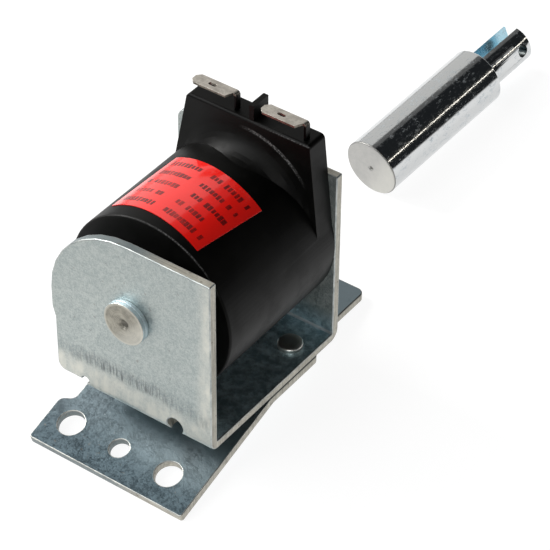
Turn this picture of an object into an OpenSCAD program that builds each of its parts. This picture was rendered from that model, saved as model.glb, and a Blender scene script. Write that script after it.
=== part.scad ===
// Open-frame pull solenoid with a moulded coil, a bent mounting plate and its plunger drawn out.
// The unit is modelled square in its own directions: X across, Y along the coil, Z up from the
// underside of the frame, with Y = 0 on the outside of the front plate. It is then leaned back
// until the mounting plate stands on its front lip and its heel.

/* [Frame] */
// Width of the bent frame
frame_w = 61; // [58:0.5:70]
// Length of the frame over both plates
frame_len = 67; // [64:0.5:80]
// Height of the plates above the underside of the base
frame_h = 66; // [62:0.5:75]
// Thickness of the frame's sheet steel
sheet = 3; // [2:0.25:4]
// Inside radius of the two bends
bend_r = 0.6; // [0.4:0.1:2]
// Height of the coil axis above the underside of the base
axis_h = 38.3; // [36:0.1:42]
// Radius of the front plate's upper left corner
front_corner_r = 30; // [10:1:34]
// Radius of the back plate's upper left corner
back_corner_r = 4; // [1:0.5:15]
// How far the base stops short of the frame's left side
base_inset = 12; // [6:0.5:16]
// How far the lower left side of the front plate is stepped in
side_step = 1.1; // [0.5:0.1:3]
// Height at which that step starts
step_h = 24.5; // [15:0.5:27]
// Rise of the sloping part of that step
step_rise = 4; // [2:0.5:6]
// Radius of the round relief at the left end of each bend
relief_r = 1.4; // [1:0.1:3]
// Radius of the second relief in the front bend
notch_r = 3; // [2:0.1:4]
// Distance of that relief from the coil axis
notch_x = 16.5; // [12:0.5:22]
// Radius of the lower left corner of each plate
ear_r = 3; // [1:0.5:4]
// Radius of the step's two corners
step_r = 1.5; // [0.5:0.1:2]

/* [Mounting plate] */
// Thickness of the mounting plate
plate_t = 3; // [2:0.25:4]
// Distance of the plate's bend behind the front plate
plate_bend_y = 31.8; // [25:0.1:40]
// Angle by which the front tab is bent down
tab_angle = 16.6; // [8:0.1:22]
// Length of the front tab from its bend
tab_len = 49.7; // [46:0.1:60]
// Reach of the front tab to the left of the coil axis
tab_left = 29.5; // [27:0.1:33]
// Length of the wide head of the front tab
tab_head = 18.5; // [16:0.5:22]
// Reach of the narrow neck and the heel to either side of the coil axis
neck_x = 25; // [20:0.5:26.5]
// Distance behind the front plate at which the plate narrows on the right
wide_end_y = 57; // [50:0.5:62]
// Length of the heel behind the back plate
heel_len = 23.5; // [15:0.5:30]
// Diameter of the two outer fixing holes
fix_hole_d = 9; // [5:0.1:10]
// Diameter of the middle fixing hole
mid_hole_d = 6.6; // [4:0.1:9]
// Distance between the two outer fixing holes
fix_spacing = 38.4; // [32:0.1:42]
// Distance of the hole row from the tab's front edge
fix_edge = 10.5; // [8:0.1:12]
// Shift of the hole row to the left of the coil axis
fix_shift = 1.2; // [0:0.1:3]
// Radius of the plate's outer corners
plate_corner_r = 2.5; // [1:0.1:4]
// Radius of the tab's two front corners and of the inner corner on the right
lip_corner_r = 1; // [0.5:0.1:2.5]
// Length over which the tab's wide head slopes to its neck
head_slope = 2; // [1:0.1:3]

/* [Base rivets] */
// Diameter of the rivets' shanks
rivet_d = 5; // [3:0.1:6]
// Diameter of their heads
rivet_head_d = 8.4; // [7:0.1:10]
// Height of their heads
rivet_head_h = 1.7; // [1:0.1:2.5]
// Rounding of the heads' edges
rivet_crown = 0.6; // [0.2:0.1:0.9]
// Distance of the rivets behind the front plate
rivet_y = 51.6; // [44:0.1:54]
// Distance of the right rivet from the frame's right side
rivet_right_in = 7.7; // [6:0.1:10]
// Distance of the left rivet from the base's left side
rivet_left_in = 7.7; // [6:0.1:10]

/* [Fixed core] */
// Diameter of the riveted core head and its washer
core_head_d = 15; // [13:0.1:20]
// Height of the core head
core_head_h = 1.5; // [1:0.1:2.5]
// Thickness of the washer under the head
core_washer_t = 1.3; // [0.8:0.1:2]
// Diameter of the spigot that passes through the front plate
core_spigot_d = 10; // [8:0.1:12]
// Length of the core inside the guide tube
core_len = 22; // [15:0.5:28]
// Diameter of the non-magnetic disc on the pole face
shim_d = 16; // [10:0.5:18]
// Thickness of that disc
shim_t = 0.8; // [0.4:0.1:1.5]
// Width of the centre mark in the head
centre_mark_d = 2.6; // [1:0.1:3]
// Chamfer of the head's edge
core_edge = 0.3; // [0.1:0.1:0.6]

/* [Coil] */
// Distance of the moulded coil's sides from the frame's sides
coil_side = 0.1; // [0:0.1:2]
// Distance from the front plate to the moulding's front face
coil_gap = 7; // [4:0.5:9]
// Radius of the moulding's front edge
coil_edge_r = 0.8; // [0.4:0.1:2]
// Thickness of the rear flange
flange_t = 8; // [7.4:0.1:11]
// Height of the terminal block above the coil axis
block_h = 42.2; // [41:0.1:46]
// Distance of the terminal block's left end from the frame's left side
block_left_end = 10.2; // [7:0.1:14]
// Distance of the terminal block's right end from the frame's right side
block_right_end = 4.9; // [3.5:0.1:6]
// Distance of the block's left side inside the coil's surface, at the height of the coil axis
block_left_in = 1.8; // [0.5:0.1:4]
// Distance of the block's right side inside the coil's surface, at the height of the coil axis
block_right_in = 0.3; // [0.2:0.1:3]
// Radius of the block's upper corners
block_corner_r = 1.6; // [0.5:0.1:3]
// Radius of the block's upper front edge
block_edge_r = 1; // [0.4:0.1:1.5]
// Radius of the saddle between coil and flange, where it meets the flange
saddle_r = 27; // [22:0.1:28]
// Height of the saddle's own axis above the coil axis
saddle_rise = 11.7; // [9:0.1:13]
// Distance of the saddle's own axis to the right of the coil axis
saddle_x = 1.5; // [0:0.1:2]
// Depth at which the saddle's thin end lies under the coil's surface
saddle_sink = 0.2; // [0.1:0.05:0.5]
// Wall of the moulding outside the winding
shell_wall = 3.5; // [2:0.1:5]
// Wall of the moulding in front of the bobbin and behind it
end_wall = 1.6; // [1:0.1:2.5]
// Diameter of the bobbin's front collar
collar_d = 34; // [30:0.5:40]
// Wall of the bobbin's barrel
barrel_wall = 1.4; // [1:0.1:2]
// Thickness of the bobbin's flanges
bobbin_flange_t = 2; // [1:0.1:3]
// Height of the bobbin's flanges above the tape
bobbin_lip = 1.2; // [0.5:0.1:1.8]
// Thickness of the tape over the winding
tape_t = 0.6; // [0.3:0.1:1]
// Length of winding left bare behind the tape on either side of the leads
bare_winding = 2; // [1.5:0.1:3]

/* [Label] */
// Width of the label, seen from above
label_w = 35; // [20:0.1:44]
// Length of the label along the coil
label_len = 28.4; // [20:0.1:32]
// Distance of the label's middle from the moulding's front face
label_mid = 19; // [16:0.1:22]
// Turn of the label, which was not stuck on quite straight
label_turn = 5.5; // [0:0.5:8]
// Thickness of the label
label_t = 0.2; // [0.1:0.05:0.4]

/* [Terminals] */
// Width of the blades
blade_w = 4.8; // [2.8:0.1:6.3]
// Thickness of the blades
blade_t = 0.8; // [0.5:0.05:1]
// Length of the flat blade from the outside of its leg to its tip
blade_len = 15.8; // [12:0.1:18]
// Height of the blade's top above the block
blade_rise = 6; // [4:0.1:9]
// Depth of the leg inside the block
leg_depth = 8; // [5:0.1:10]
// Distance of the right leg from the block's right end
leg_inset = 2.6; // [2:0.1:4]
// Distance between the two legs
leg_pitch = 25.8; // [22:0.1:28]
// Width of the legs, which are level with the blades' rear edges
leg_w = 2.2; // [1.6:0.1:2.6]
// Distance of the legs' front edges behind the flange's front face
leg_y = 1.8; // [1.5:0.1:2.6]
// Inside radius of the bend between leg and blade
blade_bend_r = 0.4; // [0.2:0.1:0.8]
// Width of the slot in each blade
blade_slot_w = 1.2; // [0.8:0.1:1.6]
// Length of that slot
blade_slot_len = 2.9; // [2:0.1:4]
// Distance of the slot's middle from the tip
blade_slot_x = 7; // [5:0.1:7.5]
// Distance from the leg's outside at which the blade has its full width
blade_root = 2.4; // [2.2:0.1:3]
// Cut across the blade's corners
blade_chamfer = 1.4; // [0.5:0.1:1.8]
// Diameter of the winding wire's two ends
lead_d = 0.8; // [0.4:0.05:1]
// Wall of the insulating sleeves on those ends
sleeve_wall = 0.3; // [0.2:0.05:0.4]
// Length of wire left bare between each sleeve and its terminal
bare_end = 1.5; // [0.5:0.1:3]
// Distance of the barrier rib to the right of the coil axis
rib_x = 3.8; // [0:0.1:5]
// Thickness of the barrier rib
rib_t = 1.8; // [1:0.1:2.5]
// Height of the barrier rib
rib_h = 5.4; // [3:0.1:9]

/* [Plunger] */
// Diameter of the plunger
plunger_d = 21; // [16:0.1:24]
// Length of the plunger's main part
plunger_len = 58; // [45:0.5:70]
// Diameter of the clevis end
clevis_d = 14; // [11:0.1:16]
// Length of the clevis end
clevis_len = 22; // [16:0.5:28]
// Width of the clevis slot
slot_w = 6; // [4:0.1:7]
// Diameter of the cross hole
cross_hole_d = 4.5; // [3:0.1:6]
// Distance of the cross hole from the tip
cross_hole_in = 4.6; // [4:0.1:8]
// Edge chamfer of the plunger
plunger_chamfer = 0.5; // [0.2:0.1:1]
// Width of the centre mark in the plunger's inner end
plunger_mark_d = 2.4; // [1:0.1:4]
// Distance of the plunger behind the heel
plunger_gap = 42.5; // [10:0.5:60]
// Sideways shift of the plunger's inner end
plunger_shift = -1; // [-8:0.5:8]
// Turn of the plunger away from the coil's direction
plunger_yaw = 5.5; // [0:0.5:12]
// Roll of the plunger about its own axis
plunger_roll = 20; // [0:1:45]

/* [Fits] */
// Radial clearance of the plunger in the guide tube
running_gap = 0.05; // [0.02:0.01:0.1]
// Clearance between pieces that are assembled for good
seat_gap = 0.05; // [0.02:0.01:0.1]
// Wall of the brass guide tube
tube_wall = 0.6; // [0.4:0.1:1]
// Wall of the steel bushing round the tube
bushing_wall = 2.4; // [1.5:0.1:4]
// Length of that bushing, back plate included
bushing_len = 5; // [4:0.1:6]

/* [Hidden] */
$fn = 72;
over = 1;
wire_fn = 24;
arc_steps = 8;
quarter = [for (i = [0:arc_steps]) 90 * i / arc_steps];

// Frame
side_x = frame_w / 2;
base_left = -side_x + base_inset;
ear_z = sheet + bend_r;
rivet_left_x = base_left + rivet_left_in;
rivet_right_x = side_x - rivet_right_in;
inner_len = frame_len - 2 * sheet;

// Mounting plate
fix_s = tab_len - fix_edge;
fix_holes = [
    [-fix_shift - fix_spacing / 2, fix_hole_d],
    [-fix_shift, mid_hole_d],
    [-fix_shift + fix_spacing / 2, fix_hole_d]
];
heel_y = frame_len + heel_len;

// Lean of the unit: its lower front lip and the heel's lower edge lie on the floor
tab_end = [plate_bend_y - tab_len * cos(tab_angle), -tab_len * sin(tab_angle)];
lip = tab_end + plate_t * [sin(tab_angle), -cos(tab_angle)];
head_back_y = tab_end[0] + tab_head * cos(tab_angle);
heel = [heel_y, -plate_t];
lean = atan2(heel[1] - lip[1], heel[0] - lip[0]);
foot_run = norm(heel - lip);

// Coil, measured along Y from the outside of the front plate
coil_r = side_x - coil_side;
coil_front = sheet + coil_gap;
coil_back = frame_len - sheet;
flange_front = coil_back - flange_t;
saddle_foot_r = coil_r - saddle_rise - saddle_sink;
saddle_curve = saddle_r - saddle_foot_r;
tube_bore_r = plunger_d / 2 + running_gap;
tube_r = tube_bore_r + tube_wall;
barrel_in_r = tube_r + seat_gap;
barrel_r = barrel_in_r + barrel_wall;
bushing_in_r = tube_r + seat_gap;
bushing_r = bushing_in_r + bushing_wall;
bushing_front = frame_len - bushing_len;
bobbin_r = coil_r - shell_wall;
tape_r = bobbin_r - bobbin_lip;
winding_r = tape_r - tape_t;
bobbin_front = coil_front + end_wall;
bobbin_back = min(coil_back - end_wall, bushing_front - seat_gap);
wind_front = bobbin_front + bobbin_flange_t;
wind_back = bobbin_back - bobbin_flange_t;
lead_y = flange_front + leg_y + leg_w / 2;
tape_back = lead_y - bare_winding;

// Terminal block and terminals
block_top = axis_h + block_h;
block_left = side_x - block_left_end;
block_right = side_x - block_right_end;
leg_front = flange_front + leg_y;
leg_back = leg_front + leg_w;
right_leg_x = block_right - leg_inset;
left_leg_x = right_leg_x - leg_pitch;
leg_foot_z = block_top - leg_depth;
blade_top = block_top + blade_rise;
left_lead_x = left_leg_x - blade_t / 2;
right_lead_x = right_leg_x - blade_t / 2;
sleeve_bore_r = lead_d / 2 + seat_gap;
sleeve_r = sleeve_bore_r + sleeve_wall;

// Plunger lying on the floor
plunger_r = plunger_d / 2;
clevis_r = clevis_d / 2;
plunger_total = plunger_len + clevis_len;
plunger_start_y = foot_run + plunger_gap;
near_y = -plate_t * sin(tab_angle - lean);
far_y = plunger_start_y + plunger_total * cos(plunger_yaw)
    + (clevis_r - plunger_chamfer) * sin(plunger_yaw);
mid_y = (near_y + far_y) / 2;

// Unit vector along v
function unit(v) = v / norm(v);
// Points of the arc of radius r that rounds the corner at p between the points a and b
function corner_arc(p, a, b, r) =
    let (
        u = unit(a - p),
        w = unit(b - p),
        half = acos(u * w) / 2,
        centre = p + unit(u + w) * r / sin(half),
        first = p + u * r / tan(half) - centre,
        last = p + w * r / tan(half) - centre,
        start = atan2(first[1], first[0]),
        step = ((atan2(last[1], last[0]) - start + 540) % 360 - 180) / arc_steps
    )
    [for (i = [0:arc_steps])
        centre + r * [cos(start + step * i), sin(start + step * i)]];
// Outline through points given as [x, y, corner radius]
function rounded(outline) =
    let (n = len(outline), p = [for (q = outline) [q[0], q[1]]])
    [for (i = [0:n - 1])
        each outline[i][2] > 0
            ? corner_arc(p[i], p[(i + n - 1) % n], p[(i + 1) % n], outline[i][2])
            : [p[i]]];

// Puts children, drawn square, where the leaning unit stands
module stand() {
    translate([0, -mid_y, 0])
    rotate([-lean, 0, 0])
    translate([0, -lip[0], -lip[1]])
    children();
}
// Turns a shape drawn along Z about the origin so that it lies along Y on the coil axis
module on_axis() {
    translate([0, 0, axis_h])
    rotate([-90, 0, 0])
    children();
}
// Solid of revolution on the coil axis from a profile of [radius, y]
module revolved(profile) {
    on_axis()
    rotate_extrude()
    polygon(profile);
}
// Round tube on the coil axis
module tube(outer_r, inner_r, y0, y1) {
    revolved([[inner_r, y0], [outer_r, y0], [outer_r, y1], [inner_r, y1]]);
}
// Cylinder along Y through the point x, z
module y_cylinder(x, z, r, y0, y1) {
    translate([x, y0, z])
    rotate([-90, 0, 0])
    cylinder(r = r, h = y1 - y0);
}
// Slab with an outline in X and Z between two values of Y
module upright_slab(y0, y1) {
    translate([0, y1, 0])
    rotate([90, 0, 0])
    linear_extrude(y1 - y0)
    children();
}

// Rectangle from the origin with its two lower corners rounded
module channel_section(length, height, r) {
    translate([r, 0])
    square([length - 2 * r, height]);
    translate([0, r])
    square([length, height - r]);
    for (y = [r, length - r])
        translate([y, r])
        circle(r);
}
// Bent sheet as it is seen from the side, Y across and Z up
module frame_section() {
    difference() {
        channel_section(frame_len, frame_h, sheet + bend_r);
        translate([sheet, sheet])
        channel_section(inner_len, frame_h, bend_r);
    }
}
// Outline of the front half: base, lower left ear, stepped side and large upper corner
module front_outline() {
    polygon(rounded([
        [base_left, -over, 0],
        [side_x, -over, 0],
        [side_x, frame_h, 0],
        [-side_x, frame_h, front_corner_r],
        [-side_x, step_h + step_rise, step_r],
        [-side_x + side_step, step_h, step_r],
        [-side_x + side_step, ear_z, ear_r],
        [base_left, ear_z, 0]
    ]));
}
// Outline of the back half
module back_outline() {
    polygon(rounded([
        [base_left, -over, 0],
        [side_x, -over, 0],
        [side_x, frame_h, 0],
        [-side_x, frame_h, back_corner_r],
        [-side_x, ear_z, ear_r],
        [base_left, ear_z, 0]
    ]));
}
// Round relief cut through a bend at y, seen from the front and from above
module bend_relief(x, y, r) {
    y_cylinder(x, ear_z, r, y - ear_z, y + ear_z);
    translate([x, y, -over])
    cylinder(r = r, h = ear_z + over);
}

// Bent steel frame: front plate, base and back plate in one sheet
module u_frame() {
    color("#b9c2c3")
    stand()
    difference() {
        intersection() {
            translate([-side_x, 0, 0])
            rotate([90, 0, 90])
            linear_extrude(frame_w)
            frame_section();
            union() {
                upright_slab(-over, frame_len / 2) front_outline();
                upright_slab(frame_len / 2, frame_len + over) back_outline();
            }
        }
        y_cylinder(0, axis_h, core_spigot_d / 2 + seat_gap, -over, sheet + over);
        y_cylinder(0, axis_h, bushing_r + seat_gap, frame_len - sheet - over, frame_len + over);
        bend_relief(base_left, ear_z, relief_r);
        bend_relief(base_left, frame_len - ear_z, relief_r);
        bend_relief(notch_x, ear_z, notch_r);
        for (x = [rivet_left_x, rivet_right_x])
            translate([x, rivet_y, -over])
            cylinder(d = rivet_d + 2 * seat_gap, h = sheet + 2 * over);
    }
}

// Mounting plate seen from the side, Y across and Z up, with the tab bent down
module plate_section() {
    polygon([
        heel,
        [heel_y, 0],
        [plate_bend_y, 0],
        tab_end,
        lip,
        [plate_bend_y + plate_t * tan(tab_angle / 2), -plate_t]
    ]);
}
// Mounting plate seen from above, with the tab left long at the front
module plate_outline() {
    polygon(rounded([
        [side_x, tab_end[0] - over, 0],
        [side_x, wide_end_y, plate_corner_r],
        [neck_x, wide_end_y, lip_corner_r],
        [neck_x, heel_y, plate_corner_r],
        [-neck_x, heel_y, plate_corner_r],
        [-neck_x, head_back_y, plate_corner_r],
        [-tab_left, head_back_y - head_slope, plate_corner_r],
        [-tab_left, tab_end[0] - over, 0]
    ]));
}
// What is cut from the square corner at the origin to round it
module corner_waste(r) {
    difference() {
        translate([-over, -over])
        square(r + over);
        translate([r, r])
        circle(r);
    }
}
// Turns shapes drawn from above onto the sloping tab, with Y = 0 on the bend
module on_tab() {
    translate([0, plate_bend_y, 0])
    rotate([tab_angle, 0, 0])
    translate([0, 0, -plate_t - over])
    linear_extrude(plate_t + 2 * over)
    children();
}
// Bent plate under the frame, with three fixing holes in its sloping tab
module mounting_plate() {
    color("#7d8a90")
    stand()
    difference() {
        intersection() {
            translate([-frame_w, 0, 0])
            rotate([90, 0, 90])
            linear_extrude(2 * frame_w)
            plate_section();
            translate([0, 0, lip[1] - over])
            linear_extrude(over - lip[1] + over)
            plate_outline();
        }
        for (x = [rivet_left_x, rivet_right_x])
            translate([x, rivet_y, -plate_t - over])
            cylinder(d = rivet_d + 2 * seat_gap, h = plate_t + 2 * over);
        on_tab() {
            for (hole = fix_holes)
                translate([hole[0], -fix_s])
                circle(d = hole[1]);
            translate([-tab_left, -tab_len])
            corner_waste(lip_corner_r);
            translate([side_x, -tab_len])
            mirror([1, 0])
            corner_waste(lip_corner_r);
        }
    }
}
// Rivet with a domed head on the base, closed flush under the mounting plate
module base_rivet(x) {
    head_top = sheet + rivet_head_h;
    color("#c9ccca")
    stand()
    translate([x, rivet_y, 0])
    rotate_extrude()
    polygon(concat(
        [[0, -plate_t], [rivet_d / 2, -plate_t], [rivet_d / 2, sheet], [rivet_head_d / 2, sheet]],
        [for (a = quarter)
            [rivet_head_d / 2 - rivet_crown * (1 - cos(a)), head_top - rivet_crown * (1 - sin(a))]],
        [[0, head_top]]
    ));
}
module rivet_left() base_rivet(rivet_left_x);
module rivet_right() base_rivet(rivet_right_x);

// Steel core: riveted head outside, spigot through the front plate, pole inside the guide tube
module fixed_core() {
    head_front = -core_washer_t - core_head_h;
    pole_r = tube_bore_r - seat_gap;
    pole_y = sheet + core_len;
    color("#c3bfb4")
    stand()
    revolved([
        [0, head_front + centre_mark_d / 2],
        [centre_mark_d / 2, head_front],
        [core_head_d / 2 - core_edge, head_front],
        [core_head_d / 2, head_front + core_edge],
        [core_head_d / 2, -core_washer_t],
        [core_spigot_d / 2, -core_washer_t],
        [core_spigot_d / 2, sheet],
        [pole_r, sheet],
        [pole_r, pole_y],
        [shim_d / 2 + seat_gap, pole_y],
        [shim_d / 2 + seat_gap, pole_y - shim_t / 2],
        [0, pole_y - shim_t / 2]
    ]);
}
// Washer between the core's head and the front plate
module core_washer() {
    color("#aab4b8")
    stand()
    tube(core_head_d / 2, core_spigot_d / 2 + seat_gap, -core_washer_t, 0);
}
// Brass disc let into the pole face, which keeps the plunger from sticking
module pole_shim() {
    back = sheet + core_len + shim_t / 2;
    color("#b79a4a")
    stand()
    on_axis()
    translate([0, 0, back - shim_t])
    cylinder(d = shim_d, h = shim_t);
}
// Thin brass tube in which the plunger slides
module guide_tube() {
    color("#c2a552")
    stand()
    tube(tube_r, tube_bore_r, sheet, frame_len);
}
// Steel bushing that closes the magnetic circuit round the tube in the back plate
module flux_bushing() {
    color("#a9adab")
    stand()
    tube(bushing_r, bushing_in_r, bushing_front, frame_len);
}
// Spool that carries the winding, with a collar that rests on the front plate
module bobbin() {
    color("#4a4a48")
    stand()
    revolved([
        [barrel_in_r, sheet],
        [collar_d / 2, sheet],
        [collar_d / 2, bobbin_front],
        [bobbin_r, bobbin_front],
        [bobbin_r, wind_front],
        [barrel_r, wind_front],
        [barrel_r, wind_back],
        [bobbin_r, wind_back],
        [bobbin_r, bobbin_back],
        [barrel_in_r, bobbin_back]
    ]);
}
// Copper winding
module winding() {
    color("#b06a3b")
    stand()
    tube(winding_r, barrel_r + seat_gap, wind_front + seat_gap, wind_back - seat_gap);
}
// Tape wound over the copper
module insulation_tape() {
    color("#d8c25a")
    stand()
    tube(tape_r, winding_r + seat_gap, wind_front + seat_gap, tape_back);
}
// Height at which an upright wire of radius r at x just clears the winding
function winding_z(x, r) = axis_h + sqrt(pow(winding_r + seat_gap, 2) - pow(max(0, abs(x) - r), 2));
// Straight end of the winding wire, from the winding up to the foot of a terminal
module lead(x) {
    low = winding_z(x, lead_d / 2);
    color("#b06a3b")
    stand()
    translate([x, lead_y, low])
    cylinder(d = lead_d, h = leg_foot_z - seat_gap - low, $fn = wire_fn);
}
module lead_start() lead(left_lead_x);
module lead_finish() lead(right_lead_x);
// Insulating sleeve on that end
module sleeve(x) {
    low = winding_z(x, sleeve_r);
    color("#d9d4c4")
    stand()
    translate([x, lead_y, low])
    difference() {
        cylinder(r = sleeve_r, h = leg_foot_z - bare_end - low, $fn = wire_fn);
        translate([0, 0, -over])
        cylinder(r = sleeve_bore_r, h = leg_foot_z - low, $fn = wire_fn);
    }
}
module sleeve_start() sleeve(left_lead_x);
module sleeve_finish() sleeve(right_lead_x);

// Outline of the rear flange: round below, straight tapering sides up to the terminal block
module flange_outline() {
    translate([0, axis_h]) {
        circle(coil_r);
        polygon(rounded([
            [block_left_in - coil_r, 0, 0],
            [coil_r - block_right_in, 0, 0],
            [block_right, block_h, block_corner_r],
            [-block_left, block_h, block_corner_r]
        ]));
    }
}
// Room for one terminal leg and its lead in the moulding
module leg_room(leg_x, lead_x) {
    translate([leg_x - blade_t - seat_gap, leg_front - seat_gap, leg_foot_z])
    cube([blade_t + 2 * seat_gap, leg_w + 2 * seat_gap, leg_depth + over]);
    translate([lead_x, lead_y, axis_h])
    cylinder(r = sleeve_r + seat_gap, h = leg_foot_z + over - axis_h, $fn = wire_fn);
}
// Rear flange and terminal block seen from the side, with a rounded upper front edge
module block_section() {
    r = block_edge_r;
    translate([flange_front, 0])
    square([flange_t, block_top - r]);
    translate([flange_front + r, 0])
    square([flange_t - r, block_top]);
    translate([flange_front + r, block_top - r])
    circle(r);
}
// Black moulding round the coil: rear flange, saddle up to it, terminal block and barrier rib
module coil_housing() {
    color("#1d1e1e")
    stand()
    difference() {
        union() {
            revolved(concat(
                [[collar_d / 2 + seat_gap, coil_front]],
                [for (a = quarter)
                    [coil_r - coil_edge_r * (1 - sin(a)), coil_front + coil_edge_r * (1 - cos(a))]],
                [[coil_r, coil_back], [collar_d / 2 + seat_gap, coil_back]]
            ));
            intersection() {
                upright_slab(flange_front, coil_back)
                difference() {
                    flange_outline();
                    translate([0, axis_h])
                    circle(collar_d / 2 + seat_gap);
                }
                translate([-frame_w, 0, 0])
                rotate([90, 0, 90])
                linear_extrude(2 * frame_w)
                block_section();
            }
            intersection() {
                upright_slab(flange_front - saddle_curve, flange_front + over)
                difference() {
                    flange_outline();
                    translate([0, axis_h])
                    circle(coil_r - over);
                }
                translate([saddle_x, 0, saddle_rise])
                revolved(concat(
                    [[0, flange_front - saddle_curve]],
                    [for (a = quarter)
                        [saddle_r - saddle_curve * cos(a), flange_front - saddle_curve * (1 - sin(a))]],
                    [[saddle_r, flange_front + over], [0, flange_front + over]]
                ));
            }
            tube(coil_r - over, bushing_r + seat_gap, bobbin_back + seat_gap, coil_back);
            translate([rib_x - rib_t / 2, flange_front + block_edge_r / 2, block_top - over])
            cube([rib_t, flange_t - block_edge_r / 2, rib_h + over]);
        }
        revolved([
            [collar_d / 2, bobbin_front - seat_gap],
            [bobbin_r + seat_gap, bobbin_front - seat_gap],
            [bobbin_r + seat_gap, wind_front],
            [tape_r + seat_gap, wind_front],
            [tape_r + seat_gap, wind_back],
            [bobbin_r + seat_gap, wind_back],
            [bobbin_r + seat_gap, bobbin_back + seat_gap],
            [collar_d / 2, bobbin_back + seat_gap]
        ]);
        leg_room(left_leg_x, left_lead_x);
        leg_room(right_leg_x, right_lead_x);
    }
}
// Flat part of a terminal seen from above: Y = 0 on its rear edge, X = 0 on the leg's outside
module blade_outline() {
    c = blade_chamfer;
    slot_r = blade_slot_w / 2;
    slot_half = blade_slot_len / 2 - slot_r;
    bend_x = -blade_t - blade_bend_r;
    difference() {
        polygon([
            [bend_x, 0], [bend_x, -leg_w], [-blade_root, -blade_w],
            [c - blade_len, -blade_w], [-blade_len, c - blade_w], [-blade_len, -c], [c - blade_len, 0]
        ]);
        translate([blade_slot_x - blade_len, -blade_w / 2]) {
            for (side = [-1, 1])
                translate([side * slot_half, 0])
                circle(slot_r);
            translate([-slot_half, -slot_r])
            square([2 * slot_half, blade_slot_w]);
        }
    }
}
// Leg and bend of a terminal seen from the front, X = 0 on the leg's outside
module leg_section() {
    bend_out = blade_t + blade_bend_r;
    leg_foot = leg_foot_z + seat_gap;
    translate([-blade_t, leg_foot])
    square([blade_t, blade_top - bend_out - leg_foot]);
    translate([-bend_out, blade_top - bend_out])
    intersection() {
        difference() {
            circle(bend_out);
            circle(blade_bend_r);
        }
        square(bend_out);
    }
}
// Blade terminal: a leg that rises from the block and a flat blade bent to the left
module terminal(leg_x) {
    color("#b3aca0")
    stand()
    translate([leg_x, 0, 0]) {
        translate([0, leg_back, blade_top - blade_t])
        linear_extrude(blade_t)
        blade_outline();
        upright_slab(leg_front, leg_back) leg_section();
    }
}
module terminal_left() terminal(left_leg_x);
module terminal_right() terminal(right_leg_x);
// Printed label on the upper side of the coil
module label() {
    color("#c8201c")
    stand()
    intersection() {
        tube(coil_r + seat_gap / 2 + label_t, coil_r + seat_gap / 2, coil_front, flange_front);
        translate([0, coil_front + label_mid, axis_h])
        rotate([0, 0, -label_turn])
        translate([-label_w / 2, -label_len / 2, 0])
        cube([label_w, label_len, coil_r + over]);
    }
}

// Steel plunger with a slotted clevis end, lying on the floor behind the unit
module plunger() {
    c = plunger_chamfer;
    mark = plunger_mark_d / 2;
    color("#d4d6d6")
    translate([plunger_shift, plunger_start_y - mid_y, plunger_r])
    rotate([0, 0, -plunger_yaw])
    rotate([0, -plunger_roll, 0])
    difference() {
        rotate([-90, 0, 0])
        rotate_extrude()
        polygon([
            [0, mark],
            [mark, 0],
            [plunger_r - c, 0],
            [plunger_r, c],
            [plunger_r, plunger_len - c],
            [plunger_r - c, plunger_len],
            [clevis_r, plunger_len],
            [clevis_r, plunger_total - c],
            [clevis_r - c, plunger_total],
            [0, plunger_total]
        ]);
        translate([-slot_w / 2, plunger_len, -plunger_r])
        cube([slot_w, clevis_len + over, plunger_d]);
        translate([-plunger_r, plunger_total - cross_hole_in, 0])
        rotate([0, 90, 0])
        cylinder(d = cross_hole_d, h = plunger_d);
    }
}

u_frame();
mounting_plate();
rivet_left();
rivet_right();
fixed_core();
core_washer();
pole_shim();
guide_tube();
flux_bushing();
bobbin();
winding();
insulation_tape();
lead_start();
lead_finish();
sleeve_start();
sleeve_finish();
coil_housing();
terminal_left();
terminal_right();
label();
plunger();
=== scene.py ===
"""Open-frame pull solenoid: black moulded coil in a zinc-plated frame, plunger drawn out."""

import math

import bmesh
import bpy
from mathutils import Matrix, Vector


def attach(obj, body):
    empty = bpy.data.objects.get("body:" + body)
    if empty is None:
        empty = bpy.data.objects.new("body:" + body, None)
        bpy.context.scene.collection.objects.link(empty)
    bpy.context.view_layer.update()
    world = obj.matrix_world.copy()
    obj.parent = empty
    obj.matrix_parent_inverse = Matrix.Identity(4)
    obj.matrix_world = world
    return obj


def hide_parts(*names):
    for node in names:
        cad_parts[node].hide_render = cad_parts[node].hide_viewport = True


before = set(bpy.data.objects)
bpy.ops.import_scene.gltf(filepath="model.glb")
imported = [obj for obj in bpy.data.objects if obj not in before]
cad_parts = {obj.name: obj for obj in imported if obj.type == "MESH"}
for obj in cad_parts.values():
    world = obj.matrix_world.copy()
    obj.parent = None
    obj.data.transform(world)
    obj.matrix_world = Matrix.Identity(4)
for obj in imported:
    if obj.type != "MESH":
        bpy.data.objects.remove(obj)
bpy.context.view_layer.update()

MM = 0.001

# Slack for telling faces apart by their place
NEAR = 0.1 * MM

# How the unit stands: it is square in its own directions (X across, Y along the coil from the
# outside of the front plate, Z up from the underside of the base) and leans back on its plate.
LEAN = math.radians(7.6004)
LIP_Y = -14.9716 * MM
LIP_Z = -17.0737 * MM
ROW_MIDDLE_Y = 114.3459 * MM
UNIT_TO_ROW = (
    Matrix.Translation((0, -ROW_MIDDLE_Y, 0))
    @ Matrix.Rotation(-LEAN, 4, "X")
    @ Matrix.Translation((0, -LIP_Y, -LIP_Z))
)
ROW_TO_UNIT = UNIT_TO_ROW.inverted()

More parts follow.
